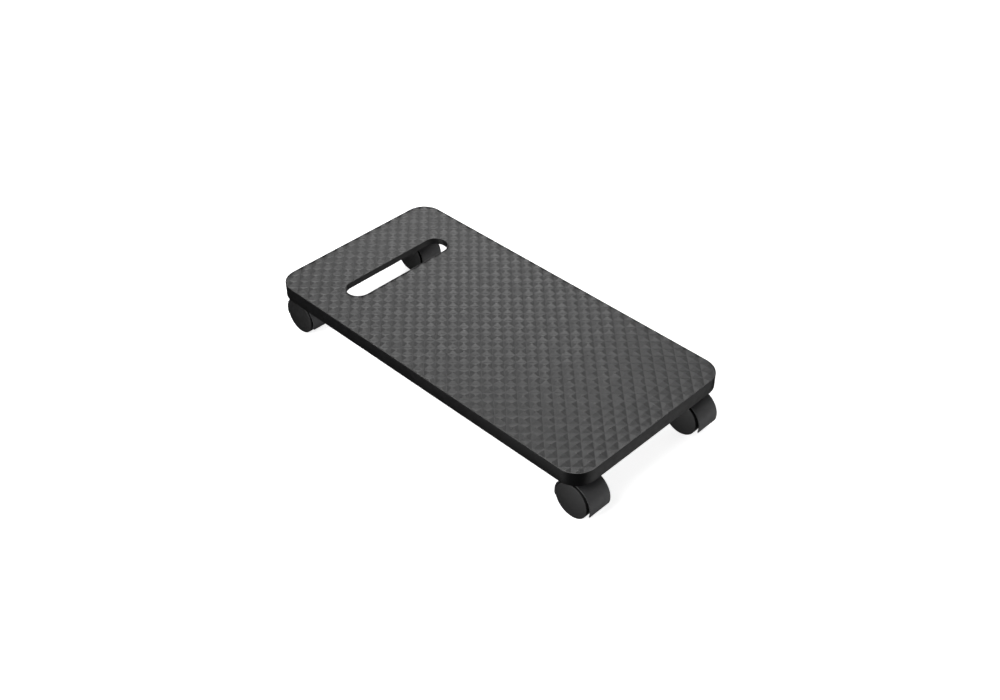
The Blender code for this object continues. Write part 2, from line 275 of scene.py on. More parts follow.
def texture_block(size, top, depth):
    """A block whose top is a field of pyramids up to a height, reaching past the platform."""
    solid = bmesh.new()
    shared = {}
    along = Vector((PYRAMID_X / 2, PYRAMID_Y / 2, 0))
    across = Vector((PYRAMID_X / 2, -PYRAMID_Y / 2, 0))
    origin = Vector((*PYRAMID_CENTRE, top - PYRAMID_HEIGHT))
    lift = Vector((0, 0, PYRAMID_HEIGHT))
    reach = round((size.x + size.y) / PYRAMID_X / 2) + 3
    for i in range(-reach, reach + 1):
        for j in range(-reach, reach + 1):
            centre = origin + along * i + across * j
            if abs(centre.x) > size.x / 2 + PYRAMID_X or abs(centre.y) > size.y / 2 + PYRAMID_Y:
                continue
            outer = []
            for u, v in ((1, 1), (1, -1), (-1, -1), (-1, 1)):
                key = (2 * i + u, 2 * j + v)
                if key not in shared:
                    shared[key] = solid.verts.new(centre + along * (u / 2) + across * (v / 2))
                outer.append(shared[key])
            base = [solid.verts.new(centre.lerp(vert.co, PYRAMID_BASE)) for vert in outer]
            tip = [solid.verts.new(centre.lerp(vert.co, PYRAMID_TIP) + lift) for vert in outer]
            for low, high in ((outer, base), (base, tip)):
                for k in range(4):
                    after = (k + 1) % 4
                    solid.faces.new((low[k], low[after], high[after], high[k]))
            solid.faces.new(tip)
    grown = bmesh.ops.extrude_face_region(solid, geom=list(solid.faces))["geom"]
    lowered = [item for item in grown if isinstance(item, bmesh.types.BMVert)]
    bmesh.ops.translate(solid, verts=lowered, vec=(0, 0, -depth))
    return link("texture_block", finish_mesh("texture_block", solid))


def plate_tool(name, size, levels):
    """A stack of the platform's outlines, from (inset, height) levels."""
    return link(name, loft_mesh(name, [raise_outline(plate_outline(size, inset), height)
                                       for inset, height in levels]))


def slot_tool(name, levels):
    """A stack of the slot's outlines, from (margin, height) levels."""
    return link(name, loft_mesh(name, [raise_outline(slot_outline(margin), height)
                                       for margin, height in levels]))


def edge_levels(top, steps, first=0):
    """Levels up the round at the platform's or the slot's upper edge."""
    angles = [QUARTER * step / steps for step in range(first, steps + 1)]
    return [(EDGE_ROUND * (1 - math.cos(angle)), top - EDGE_ROUND * (1 - math.sin(angle)))
            for angle in angles]


def relief_tool(size, top):
    """The space above the pyramids, which stops at a plain border by the edge and the slot."""
    groove = top - PYRAMID_HEIGHT
    bottom = groove - REACH / 2
    foot = RIM_WIDTH + RIM_SLOPE
    space = plate_tool("relief", size, [(foot, bottom), (foot, groove), (RIM_WIDTH, top),
                                        (RIM_WIDTH, top + REACH)])
    border = slot_tool("slot_border", [(foot, bottom - REACH), (foot, groove), (RIM_WIDTH, top),
                                       (RIM_WIDTH, top + 2 * REACH)])
    field = texture_block(size, top - TIP_BELOW_RIM, SKIRT_HEIGHT)
    return carve(space, [("DIFFERENCE", border), ("DIFFERENCE", field)])


def rib_rows(stem_y):
    from_slot = SLOT_WIDTH / 2 + SLOT_TO_RIB
    bays = 8
    bay = (SLOT_Y - from_slot + stem_y) / bays
    return [-stem_y + bay * index for index in range(bays + 1)] + [SLOT_Y + from_slot, stem_y]


def rib_tool(name, centres, length, along_x, bottom, top):
    """Ribs that thin towards their lower edge, as the mould's draft leaves them."""
    solid = bmesh.new()
    for centre in centres:
        rings = []
        for height, wall in ((bottom, RIB_TIP), (top, RIB_ROOT)):
            shape = (length, wall) if along_x else (wall, length)
            rings.append(raise_outline(box_outline(centre, shape), height))
        add_loft(solid, rings)
    return link(name, finish_mesh(name, solid))


def round_tool(name, centres, levels):
    """The same stack of (radius, height) circles at every centre."""
    solid = bmesh.new()
    for centre in centres:
        add_loft(solid, [raise_outline(arc(centre, radius, 0, 4 * QUARTER, SHAFT_STEPS)[:-1], height)
                         for radius, height in levels])
    return link(name, finish_mesh(name, solid))


def plate_block(size, skirt_bottom, top):
    """The platform's outside as one block, with its lower edge eased and its upper edge rounded."""
    levels = [(0.4 * MM, skirt_bottom), (0.1 * MM, skirt_bottom + 0.15 * MM),
              (0, skirt_bottom + 0.5 * MM)]
    return plate_tool("platform_moulding", size, levels + edge_levels(top, EDGE_STEPS))


def slot_cut(skirt_bottom, top):
    levels = [(0, skirt_bottom - REACH), (0, top - EDGE_ROUND)]
    levels += edge_levels(top, SLOT_EDGE_STEPS, first=1)
    levels.append((EDGE_ROUND, top + REACH))
    return slot_tool("slot", levels)


def hollow_tool(size, top, stem_x, stem_y, boss_space):
    """The space under the skin, less the ribs, the bosses and the collar round the slot."""
    skirt_bottom = top - SKIRT_HEIGHT
    skin_bottom = top - SKIN
    rib_bottom = top - RIB_DEPTH
    collar_bottom = top - COLLAR_DEPTH
    hollow = plate_tool("hollow", size, [
        (SKIRT_WALL - 0.6 * MM, skirt_bottom - REACH),
        (SKIRT_WALL - 0.4 * MM, skirt_bottom),
        (SKIRT_WALL, skirt_bottom + 0.5 * MM),
        (SKIRT_WALL + 0.3 * MM, skin_bottom - 1.2 * MM),
        (SKIRT_WALL + 0.7 * MM, skin_bottom - 0.4 * MM),
        (SKIRT_WALL + 1.5 * MM, skin_bottom),
    ])
    collar = slot_tool("collar", [
        (COLLAR_WALL - 0.5 * MM, collar_bottom),
        (COLLAR_WALL, collar_bottom + 0.5 * MM),
        (COLLAR_WALL, skin_bottom - 0.8 * MM),
        (COLLAR_WALL + 0.8 * MM, skin_bottom),
        (COLLAR_WALL + 0.8 * MM, top),
    ])
    room = COLLAR_WALL + 0.5 * MM
    under_collar = slot_tool("under_collar", [(room, skirt_bottom - REACH), (room, collar_bottom)])
    columns = [(stem_x * part, 0) for part in (-1, -0.5, 0, 0.5, 1)]
    rows = [(0, y) for y in rib_rows(stem_y)]
    return carve(hollow, [
        ("DIFFERENCE", rib_tool("long_ribs", columns, size.y, False, rib_bottom, top)),
        ("DIFFERENCE", rib_tool("cross_ribs", rows, size.x, True, rib_bottom, top)),
        ("DIFFERENCE", boss_space),
        ("UNION", under_collar),
        ("DIFFERENCE", collar),
    ])


def build_platform():
    low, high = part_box("platform")
    size = high - low
    top = high.z
    skirt_bottom = top - SKIRT_HEIGHT
    skin_bottom = top - SKIN
    stem_x = JOINTS["front_right_swivel"]["pos_m"][0]
    stem_y = JOINTS["rear_right_swivel"]["pos_m"][1]
    corners = [(side * stem_x, end * stem_y) for side in (-1, 1) for end in (-1, 1)]
    boss_levels = [(BOSS_RADIUS - 0.8 * MM, low.z), (BOSS_RADIUS - 0.4 * MM, low.z + 0.4 * MM),
                   (BOSS_RADIUS, skin_bottom - 1.0 * MM), (BOSS_RADIUS + 1.0 * MM, skin_bottom),
                   (BOSS_RADIUS + 1.0 * MM, top - REACH)]
    socket_levels = [(SOCKET_RADIUS + 0.8 * MM, low.z - REACH / 4), (SOCKET_RADIUS, low.z + 0.6 * MM),
                     (SOCKET_RADIUS, top - SOCKET_SKIN)]
    boss_space = round_tool("boss_space", corners, boss_levels)
    platform = plate_block(size, skirt_bottom, top)
    carve(platform, [
        ("DIFFERENCE", hollow_tool(size, top, stem_x, stem_y, boss_space)),
        ("UNION", round_tool("bosses", corners, boss_levels)),
        ("DIFFERENCE", slot_cut(skirt_bottom, top)),
        ("DIFFERENCE", round_tool("sockets", corners, socket_levels)),
        ("DIFFERENCE", relief_tool(size, top)),
    ])
    dress_platform(platform, top)
    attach(platform, "platform")
    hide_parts("platform")


def dress_platform(platform, top):
    """Textured top, smooth skirt and plain underside; the pyramids keep their flat facets."""
    mesh = platform.data
    mesh.materials.clear()
    for made in (MATERIALS["top"], MATERIALS["skirt"], MATERIALS["underside"]):
        mesh.materials.append(made)
    mesh.shade_smooth()
    mesh.set_sharp_from_angle(angle=SMOOTH_ANGLE)
    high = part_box("platform")[1]
    below_grooves = top - PYRAMID_HEIGHT - 0.1 * MM
    for face in mesh.polygons:
        on_top = face.normal.z > 0.5 and face.center.z > below_grooves
        outside = max(abs(face.center.x) - high.x, abs(face.center.y) - high.y) > -PLATE_CORNER
        facing_out = face.normal.x * face.center.x + face.normal.y * face.center.y > 0
        if on_top:
            face.material_index = 0
            face.use_smooth = False
        elif outside and facing_out and abs(face.normal.z) < 0.95:
            face.material_index = 1
        else:
            face.material_index = 2


# ---------------------------------------------------------------- caster housing

def hood_section(half_width, inner, outer):
    """Cross section of the hood's wall as (x, radius) points: crisp outside, round inside."""
    crisp_edge = (outer - inner) * HOOD_CRISP
    round_edge = (outer - inner) * HOOD_ROUND
    points = []
    for side, level, edge, start in ((1, outer, crisp_edge, 0), (-1, outer, crisp_edge, 1),
                                     (-1, inner, round_edge, 2), (1, inner, round_edge, 3)):
        toward = -edge if level == outer else edge
        centre = (side * (half_width - edge), level + toward)
        points += arc(centre, edge, start * QUARTER, (start + 1) * QUARTER, EDGE_STEPS)
    return points


def hood_mesh(axle_height):
    outer = HOOD_RADIUS
    inner = HOOD_RADIUS - HOOD_WALL
    dip = math.asin(HOOD_DROP / HOOD_RADIUS)
    corner_turn = HOOD_CORNER / HOOD_RADIUS
    corner_angles = [corner_turn * (1 - math.cos(QUARTER * step / HOOD_CORNER_STEPS))
                     for step in range(HOOD_CORNER_STEPS + 1)]
    middle_turn = (math.pi + 2 * dip - 2 * corner_turn) / HOOD_STEPS
    middle = [corner_turn + middle_turn * step for step in range(1, HOOD_STEPS)]
    ends = [math.pi + 2 * dip - angle for angle in reversed(corner_angles)]
    rings = []
    for swept in corner_angles + middle + ends:
        from_end = min(swept, math.pi + 2 * dip - swept) * HOOD_RADIUS
        missing = max(0.0, HOOD_CORNER - from_end)
        cut = HOOD_CORNER - math.sqrt(max(0.0, HOOD_CORNER ** 2 - missing ** 2))
        thin = HOOD_THINNING * HOOD_WALL * (missing / HOOD_CORNER) ** 6
        angle = swept - dip
        section = hood_section(HOOD_WIDTH / 2 - cut, inner + thin, outer - thin)
        rings.append([(x, radius * math.cos(angle), axle_height + radius * math.sin(angle))
                      for x, radius in section])
    return loft_mesh("hood", rings)


def web_tool(axle_height):
    radius = HOOD_RADIUS - HOOD_WALL / 2
    dip = math.asin(HOOD_DROP / radius)
    outline = arc((0, axle_height), radius, -dip, math.pi + dip, HOOD_STEPS)
    half = WEB_WALL / 2
    rings = [[(x, y, z) for y, z in outline] for x in (-half, half)]
    return link("web", loft_mesh("web", rings))


def build_housing_mesh(trail, axle_height, neck_top, clip_heights):
    hood_under = axle_height + HOOD_RADIUS - HOOD_WALL
    column = [(0, COLUMN_BOTTOM), (COLUMN_RADIUS - 0.5 * MM, COLUMN_BOTTOM),
              (COLUMN_RADIUS, COLUMN_BOTTOM + 0.5 * MM), (COLUMN_RADIUS, hood_under - REACH / 2),
              (NECK_RADIUS + 1.2 * MM, hood_under - REACH / 2),
              (NECK_RADIUS + 1.2 * MM, hood_under + HOOD_WALL),
              (NECK_RADIUS + 0.3 * MM, hood_under + HOOD_WALL + 0.35 * MM),
              (NECK_RADIUS, hood_under + HOOD_WALL + 0.9 * MM)]
    column += reversed(rounded((NECK_RADIUS, neck_top), 0.5 * MM))
    column.append((0, neck_top))
    bore_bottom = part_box("front_left_stem")[0].z - GAP
    pocket = (clip_heights[0] - CLIP_POCKET_MARGIN, clip_heights[1] + CLIP_POCKET_MARGIN)
    stem_bore = [(0, bore_bottom), (STEM_BORE_RADIUS, bore_bottom), (STEM_BORE_RADIUS, pocket[0]),
                 (CLIP_POCKET_RADIUS, pocket[0]), (CLIP_POCKET_RADIUS, pocket[1]),
                 (STEM_BORE_RADIUS, pocket[1]), (STEM_BORE_RADIUS, neck_top - 0.4 * MM),
                 (STEM_BORE_RADIUS + 0.7 * MM, neck_top + 0.3 * MM), (0, neck_top + 0.3 * MM)]
    half = COLUMN_RADIUS
    boss = [(0, -half), (AXLE_BOSS_RADIUS - 0.5 * MM, -half), (AXLE_BOSS_RADIUS, 0.5 * MM - half),
            (AXLE_BOSS_RADIUS, half - 0.5 * MM), (AXLE_BOSS_RADIUS - 0.5 * MM, half), (0, half)]
    bore = [(0, -half - REACH), (AXLE_BORE_RADIUS, -half - REACH),
            (AXLE_BORE_RADIUS, half + REACH), (0, half + REACH)]
    axle_place = (0, trail, axle_height)
    housing = link("housing", hood_mesh(axle_height))
    carve(housing, [
        ("UNION", web_tool(axle_height)),
        ("UNION", link("column", turned_mesh("column", column, SHAFT_STEPS))),
        ("UNION", link("boss", turned_mesh("boss", boss, SHAFT_STEPS, facing="+X"), axle_place)),
        ("DIFFERENCE", link("stem_bore", turned_mesh("stem_bore", stem_bore, SHAFT_STEPS))),
        ("DIFFERENCE", link("axle_bore", turned_mesh("bore", bore, SHAFT_STEPS, facing="+X"),
                            axle_place)),
    ])
    mesh = housing.data
    mesh.set_sharp_from_angle(angle=SMOOTH_ANGLE)
    bpy.data.objects.remove(housing)
    return mesh


# ---------------------------------------------------------------- wheel

def build_wheel_mesh(inner, outer, radius):
    """A hollow moulded wheel that faces +X; its inner face is open to the hub and spokes."""
    edge_plane = outer - WHEEL_CROWN
    hub_end = edge_plane - 1.3 * MM
    dish = edge_plane - 1.7 * MM
    profile = [(0, hub_end), (AXLE_BORE_RADIUS, hub_end), (AXLE_BORE_RADIUS, inner + 0.4 * MM),
               (AXLE_BORE_RADIUS + 0.4 * MM, inner), (WHEEL_HUB_RADIUS - 0.3 * MM, inner),
               (WHEEL_HUB_RADIUS, inner + 0.3 * MM), (WHEEL_HUB_RADIUS, dish - 0.6 * MM),
               (WHEEL_HUB_RADIUS + 0.6 * MM, dish), (WHEEL_RIM_INSIDE - 0.8 * MM, dish),
               (WHEEL_RIM_INSIDE, dish - 0.8 * MM), (WHEEL_RIM_INSIDE + 0.5 * MM, inner + 0.2 * MM),
               (WHEEL_RIM_INSIDE + 0.8 * MM, inner)]
    edge_turns = [math.radians(90 * step / EDGE_STEPS) for step in range(EDGE_STEPS + 1)]
    for turn in edge_turns:
        profile.append((radius - WHEEL_EDGE_ROUND * (1 - math.sin(turn)),
                        inner + WHEEL_EDGE_ROUND * (1 - math.cos(turn))))
    for turn in edge_turns:
        profile.append((radius - WHEEL_EDGE_ROUND * (1 - math.cos(turn)),
                        edge_plane - WHEEL_EDGE_ROUND * (1 - math.sin(turn))))
    face_radius = radius - WHEEL_EDGE_ROUND
    for out in (1 - step / FACE_STEPS for step in range(1, FACE_STEPS + 1)):
        profile.append((face_radius * out, edge_plane + WHEEL_CROWN * (1 - out ** 2)))
    wheel = link("wheel", turned_mesh("wheel", profile, WHEEL_STEPS, facing="+X"))
    spokes = bmesh.new()
    middle = (WHEEL_HUB_RADIUS + WHEEL_RIM_INSIDE) / 2
    length = WHEEL_RIM_INSIDE - WHEEL_HUB_RADIUS + 1.2 * MM
    for index in range(WHEEL_SPOKES):
        turn = Matrix.Rotation(2 * math.pi * index / WHEEL_SPOKES, 4, "X")
        rings = []
        for x, wall in ((inner + 1.0 * MM, 0.9 * MM), (dish + 0.5 * MM, 1.3 * MM)):
            outline = box_outline((0, middle), (wall, length))
            rings.append([turn @ Vector((x, y, z)) for y, z in outline])
        add_loft(spokes, rings)
    carve(wheel, [("UNION", link("spokes", finish_mesh("spokes", spokes)))])
    mesh = wheel.data
    mesh.set_sharp_from_angle(angle=SMOOTH_ANGLE)
    bpy.data.objects.remove(wheel)
    return mesh


# ---------------------------------------------------------------- steel parts

def stem_mesh(low, high, flange, grip, clip):
    """A turned stem: flange, groove for the grip ring above it, groove for the clip below."""
    upper = 3.8 * MM
    lower = 3.5 * MM
    neck = 3.3 * MM
    clip_neck = 2.7 * MM
    chamfer = 0.6 * MM
    groove = (grip[0] - GAP, grip[1] + GAP)
    clip_groove = (clip[0] - GAP, clip[1] + GAP)
    profile = [(0, low), (lower - chamfer, low), (lower, low + chamfer),
               (lower, clip_groove[0]), (clip_neck, clip_groove[0]), (clip_neck, clip_groove[1]),
               (lower, clip_groove[1]), (lower, flange[0]),
               (flange[2] - 0.2 * MM, flange[0]), (flange[2], flange[0] + 0.2 * MM),
               (flange[2], flange[1] - 0.3 * MM), (flange[2] - 0.3 * MM, flange[1]),
               (upper, flange[1]), (upper, groove[0] - 0.3 * MM), (neck, groove[0]),
               (neck, groove[1]), (upper, groove[1] + 0.3 * MM), (upper, high - chamfer),
               (upper - chamfer * 0.4, high - chamfer * 0.35), (upper - chamfer, high), (0, high)]
    return turned_mesh("stem", profile, SHAFT_STEPS)


def grip_ring_mesh(inner, outer, low, high):
    """A split spring ring with two raised beads that bite into the socket."""
    waist = outer - 0.5 * MM
    third = (high - low) / 6
    profile = [(inner, low), (waist, low), (outer, low + third), (waist, low + 2 * third),
               (waist, high - 2 * third), (outer, high - third), (waist, high), (inner, high)]
    return turned_mesh("grip_ring", profile, SHAFT_STEPS, closed=True, opening=math.radians(20))


def clip_mesh(inner, outer, low, high):
    edge = 0.1 * MM
    profile = [(inner, low), (outer - edge, low), (outer, low + edge), (outer, high - edge),
               (outer - edge, high), (inner, high)]
    return turned_mesh("stem_clip", profile, SHAFT_STEPS, closed=True, opening=math.radians(70))


def axle_mesh(half_length):
    radius = 2.5 * MM
    groove_radius = 2.0 * MM
    chamfer = 0.4 * MM
    groove = (half_length - 3.4 * MM, half_length - 2.4 * MM)
    half = [(radius, groove[0] - 0.2 * MM), (groove_radius, groove[0] + 0.1 * MM),
            (groove_radius, groove[1] - 0.1 * MM), (radius, groove[1]),
            (radius, half_length - chamfer), (radius - chamfer * 0.4, half_length - chamfer * 0.35),
            (radius - chamfer, half_length), (0, half_length)]
    profile = [(edge, -height) for edge, height in reversed(half)] + half
    return turned_mesh("axle", profile, SHAFT_STEPS, facing="+X")


# ---------------------------------------------------------------- casters

def add_piece(name, mesh, place, body, node, material):
    made = link(name, mesh, place)
    if not mesh.materials:
        mesh.materials.append(material)
    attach(made, body)
    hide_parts(node)
    return made


def caster_meshes():
    """Every mesh that the four casters share, in the caster's own frame."""
    swivel = Vector(JOINTS["front_left_swivel"]["pos_m"])
    axle = Vector(JOINTS["front_left_outer_wheel_roll"]["pos_m"])
    trail = axle.y - swivel.y
    stem_low, stem_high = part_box("front_left_stem")
    ring_low, ring_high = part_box("front_left_grip_ring")
    clip_low, clip_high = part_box("front_left_stem_clip")
    wheel_low, wheel_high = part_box("front_right_outer_wheel")
    wheel_axis = JOINTS["front_right_outer_wheel_roll"]["pos_m"][0]
    neck_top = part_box("front_left_housing")[1].z
    flange = (neck_top + GAP, neck_top + GAP + FLANGE_THICK, FLANGE_RADIUS)
    grip = (ring_low.z, ring_high.z)
    clip = (clip_low.z, clip_high.z)
    axle_half = (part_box("front_left_axle")[1].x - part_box("front_left_axle")[0].x) / 2
    ring_outer = SOCKET_RADIUS - GAP
    return {
        "housing": build_housing_mesh(trail, axle.z, neck_top, clip),
        "wheel": build_wheel_mesh(wheel_low.x - wheel_axis, wheel_high.x - wheel_axis, axle.z),
        "stem": stem_mesh(stem_low.z, stem_high.z, flange, grip, clip),
        "grip_ring": grip_ring_mesh(GRIP_RING_BORE, ring_outer, *grip),
        "stem_clip": clip_mesh(CLIP_BORE, CLIP_RADIUS, *clip),
        "axle": axle_mesh(axle_half),
    }


def build_caster(name, meshes):
    swivel = Vector(JOINTS[name + "_swivel"]["pos_m"])
    foot = Vector((swivel.x, swivel.y, 0))
    axle = Vector(JOINTS[name + "_outer_wheel_roll"]["pos_m"])
    turning = name + "_caster"
    side = 1 if swivel.x > 0 else -1
    for part, body, material, slot in (
            ("stem", "platform", "zinc", "zinc_steel"),
            ("grip_ring", "platform", "spring", "spring_steel"),
            ("stem_clip", "platform", "spring", "spring_steel"),
            ("housing", turning, "housing", "housing_nylon")):
        add_piece(f"{name}_{part}_shown", meshes[part], foot, body, f"{name}_{part}",
                  MATERIALS[material])
    add_piece(name + "_axle_shown", meshes["axle"], axle, turning, name + "_axle",
              MATERIALS["zinc"])
    for which, facing in (("outer_wheel", side), ("inner_wheel", -side)):
        node = f"{name}_{which}"
        wheel = link(node + "_shown", meshes["wheel"], axle)
        wheel.rotation_euler.z = 0 if facing > 0 else math.pi
        if not wheel.data.materials:
            wheel.data.materials.append(MATERIALS["wheel"])
        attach(wheel, node)
        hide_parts(node)


# ---------------------------------------------------------------- materials

def add_node(tree, kind, values=None, **settings):
    """A shader node; a value that is a socket is linked, and any other is set."""
    made = tree.nodes.new(kind)
    for name, value in settings.items():
        setattr(made, name, value)
    for name, value in (values or {}).items():
        if isinstance(value, bpy.types.NodeSocket):
            tree.links.new(value, made.inputs[name])
        else:
            made.inputs[name].default_value = value
    return made


def noise(tree, coordinates, scale, detail=2.0, roughness=0.5):
    return add_node(tree, "ShaderNodeTexNoise", {
        "Vector": coordinates, "Scale": scale, "Detail": detail, "Roughness": roughness,
    }).outputs["Fac"]


def spread(tree, value, low, high, new_low=0.0, new_high=1.0):
    return add_node(tree, "ShaderNodeMapRange", {
        "Value": value, "From Min": low, "From Max": high, "To Min": new_low, "To Max": new_high,
    }).outputs["Result"]


def compute(tree, operation, first, second):
    return add_node(tree, "ShaderNodeMath", {0: first, 1: second}, operation=operation).outputs[0]


def blend_colours(tree, factor, first, second):
    mixed = add_node(tree, "ShaderNodeMix", {0: factor, 6: first, 7: second}, data_type="RGBA")
    return mixed.outputs[2]


def grey(level, tint=0.0):
    return (level, level, level * (1 + tint), 1.0)


def start_material(name, specular, metallic=0.0):
    made = bpy.data.materials.new(name)
    made.use_nodes = True
    tree = made.node_tree
    shader = tree.nodes["Principled BSDF"]
    shader.inputs["Specular IOR Level"].default_value = specular
    shader.inputs["Metallic"].default_value = metallic
    coordinates = add_node(tree, "ShaderNodeTexCoord").outputs["Object"]
    return made, tree, shader, coordinates


def add_bump(tree, shader, layers):
    """Stack (height, distance) layers of relief."""
    normal = None
    for height, distance in layers:
        values = {"Height": height, "Distance": distance, "Strength": 1.0}
        if normal:
            values["Normal"] = normal
        normal = add_node(tree, "ShaderNodeBump", values).outputs["Normal"]
    tree.links.new(normal, shader.inputs["Normal"])


def moulded_plastic(name, level, roughness, specular, grain=2600.0, grain_depth=0.012 * MM,
                    tint=0.04):
    """Black moulded plastic: spark-eroded grain, soft sink marks, slight gloss variation."""
    made, tree, shader, coordinates = start_material(name, specular)
    broad = noise(tree, coordinates, scale=28.0, detail=3.0)
    cloud = spread(tree, broad, 0.3, 0.7)
    fleck = spread(tree, noise(tree, coordinates, scale=900.0, detail=2.0), 0.62, 0.75)
    base = blend_colours(tree, cloud, grey(level * 0.86, tint), grey(level * 1.14, tint))
    base = blend_colours(tree, compute(tree, "MULTIPLY", fleck, 0.25), base, grey(level * 2.2, tint))
    tree.links.new(base, shader.inputs["Base Color"])
    uneven = spread(tree, noise(tree, coordinates, scale=140.0, detail=4.0, roughness=0.6), 0.3, 0.7,
                    roughness - 0.06, roughness + 0.06)
    tree.links.new(uneven, shader.inputs["Roughness"])
    add_bump(tree, shader, [(noise(tree, coordinates, scale=70.0, detail=2.0), 0.02 * MM),
                            (noise(tree, coordinates, scale=grain, detail=2.0), grain_depth)])
    return made


def textured_top(name, level, roughness, specular, top):
    """The platform's top: pyramid tips polished by use, a little dust left in the grooves."""
    made, tree, shader, coordinates = start_material(name, specular)
    height = add_node(tree, "ShaderNodeSeparateXYZ", {0: coordinates}).outputs["Z"]
    groove = top - PYRAMID_HEIGHT
    patch = spread(tree, noise(tree, coordinates, scale=22.0, detail=4.0, roughness=0.6), 0.35, 0.65)
    tip = spread(tree, height, top - 0.25 * MM, top - 0.05 * MM)
    dust = spread(tree, height, groove + 0.12 * MM, groove)
    dust = compute(tree, "MULTIPLY", dust, spread(tree, noise(tree, coordinates, scale=160.0, detail=4.0),
                                                  0.4, 0.65, 0.15, 0.8))
    fleck = spread(tree, noise(tree, coordinates, scale=1100.0, detail=2.0), 0.60, 0.74)
    base = blend_colours(tree, patch, grey(level * 0.9, 0.03), grey(level * 1.1, 0.03))
    base = blend_colours(tree, compute(tree, "MULTIPLY", fleck, 0.22), base, grey(level * 2.0, 0.02))
    base = blend_colours(tree, compute(tree, "MULTIPLY", dust, 0.30), base, grey(level * 2.0, -0.02))
    base = blend_colours(tree, compute(tree, "MULTIPLY", tip, 0.35), base, grey(level * 1.5, 0.02))
    tree.links.new(base, shader.inputs["Base Color"])
    gloss = spread(tree, noise(tree, coordinates, scale=60.0, detail=4.0, roughness=0.6), 0.3, 0.7,
                   roughness - 0.05, roughness + 0.05)
    gloss = compute(tree, "SUBTRACT", gloss, compute(tree, "MULTIPLY", tip, 0.08))
    gloss = compute(tree, "ADD", gloss, compute(tree, "MULTIPLY", dust, 0.12))
    tree.links.new(gloss, shader.inputs["Roughness"])
    add_bump(tree, shader, [(noise(tree, coordinates, scale=90.0, detail=2.0), 0.02 * MM),
                            (noise(tree, coordinates, scale=2400.0, detail=2.0), 0.012 * MM)])
    return made


def rolling_plastic(name, level, roughness, specular, radius):
    """Wheel nylon: a dusty, scuffed tread and a cleaner outer face."""
    made, tree, shader, coordinates = start_material(name, specular)
    split = add_node(tree, "ShaderNodeSeparateXYZ", {0: coordinates})
    flat = add_node(tree, "ShaderNodeCombineXYZ", {"Y": split.outputs["Y"], "Z": split.outputs["Z"]})
    distance = add_node(tree, "ShaderNodeVectorMath", {0: flat.outputs[0]}, operation="LENGTH")
    tread = spread(tree, distance.outputs["Value"], radius - 0.5 * MM, radius - 0.05 * MM)
    scuff = spread(tree, noise(tree, coordinates, scale=420.0, detail=5.0, roughness=0.65), 0.42, 0.62)
    worn = compute(tree, "MULTIPLY", tread, spread(tree, scuff, 0.0, 1.0, 0.3, 1.0))
    cloud = spread(tree, noise(tree, coordinates, scale=45.0, detail=3.0), 0.3, 0.7)
    base = blend_colours(tree, cloud, grey(level * 0.88, 0.03), grey(level * 1.12, 0.03))
    base = blend_colours(tree, compute(tree, "MULTIPLY", worn, 0.45), base, grey(level * 2.0, -0.04))
    tree.links.new(base, shader.inputs["Base Color"])
    gloss = spread(tree, noise(tree, coordinates, scale=180.0, detail=4.0), 0.3, 0.7,
                   roughness - 0.05, roughness + 0.05)
    gloss = compute(tree, "ADD", gloss, compute(tree, "MULTIPLY", worn, 0.2))
    tree.links.new(gloss, shader.inputs["Roughness"])
    add_bump(tree, shader, [(noise(tree, coordinates, scale=90.0, detail=2.0), 0.015 * MM),
                            (compute(tree, "MULTIPLY", worn, scuff), 0.02 * MM),
                            (noise(tree, coordinates, scale=2400.0, detail=2.0), 0.010 * MM)])
    return made


def turned_steel(name, colour, roughness, scratch):
    """Turned steel: fine rings round the axis, with soft blotches in the plating."""
    made, tree, shader, coordinates = start_material(name, 0.5, metallic=1.0)
    stretched = add_node(tree, "ShaderNodeMapping", {"Vector": coordinates, "Scale": (0.05, 0.05, 1.0)})
    rings = noise(tree, stretched.outputs[0], scale=5200.0, detail=3.0)
    blotch = spread(tree, noise(tree, coordinates, scale=240.0, detail=3.0), 0.3, 0.7)
    darker = tuple(part * 0.72 for part in colour) + (1.0,)
    lighter = tuple(min(1.0, part * 1.08) for part in colour) + (1.0,)
    tree.links.new(blend_colours(tree, blotch, darker, lighter), shader.inputs["Base Color"])
    tree.links.new(spread(tree, rings, 0.3, 0.7, roughness - 0.07, roughness + 0.1),
                   shader.inputs["Roughness"])
    add_bump(tree, shader, [(rings, scratch)])
    return made


def make_materials():
    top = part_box("platform")[1].z
    radius = JOINTS["front_left_outer_wheel_roll"]["pos_m"][2]
    return {
        "top": textured_top("pyramid_textured_abs", level=0.005, roughness=0.36, specular=0.58,
                            top=top),
        "skirt": moulded_plastic("skirt_abs", level=0.0053, roughness=0.36, specular=0.20),
        "underside": moulded_plastic("underside_abs", level=0.008, roughness=0.48, specular=0.32),
        "housing": moulded_plastic("housing_nylon", level=0.054, roughness=0.45, specular=0.42,
                                   grain=2000.0),
        "wheel": rolling_plastic("wheel_nylon", level=0.008, roughness=0.42, specular=0.44,
                                 radius=radius),
        "zinc": turned_steel("zinc_plated_steel", colour=(0.62, 0.62, 0.58), roughness=0.30,
                             scratch=0.006 * MM),
        "spring": turned_steel("oiled_spring_steel", colour=(0.30, 0.30, 0.31), roughness=0.36,
                               scratch=0.004 * MM),
    }


# ---------------------------------------------------------------- stage

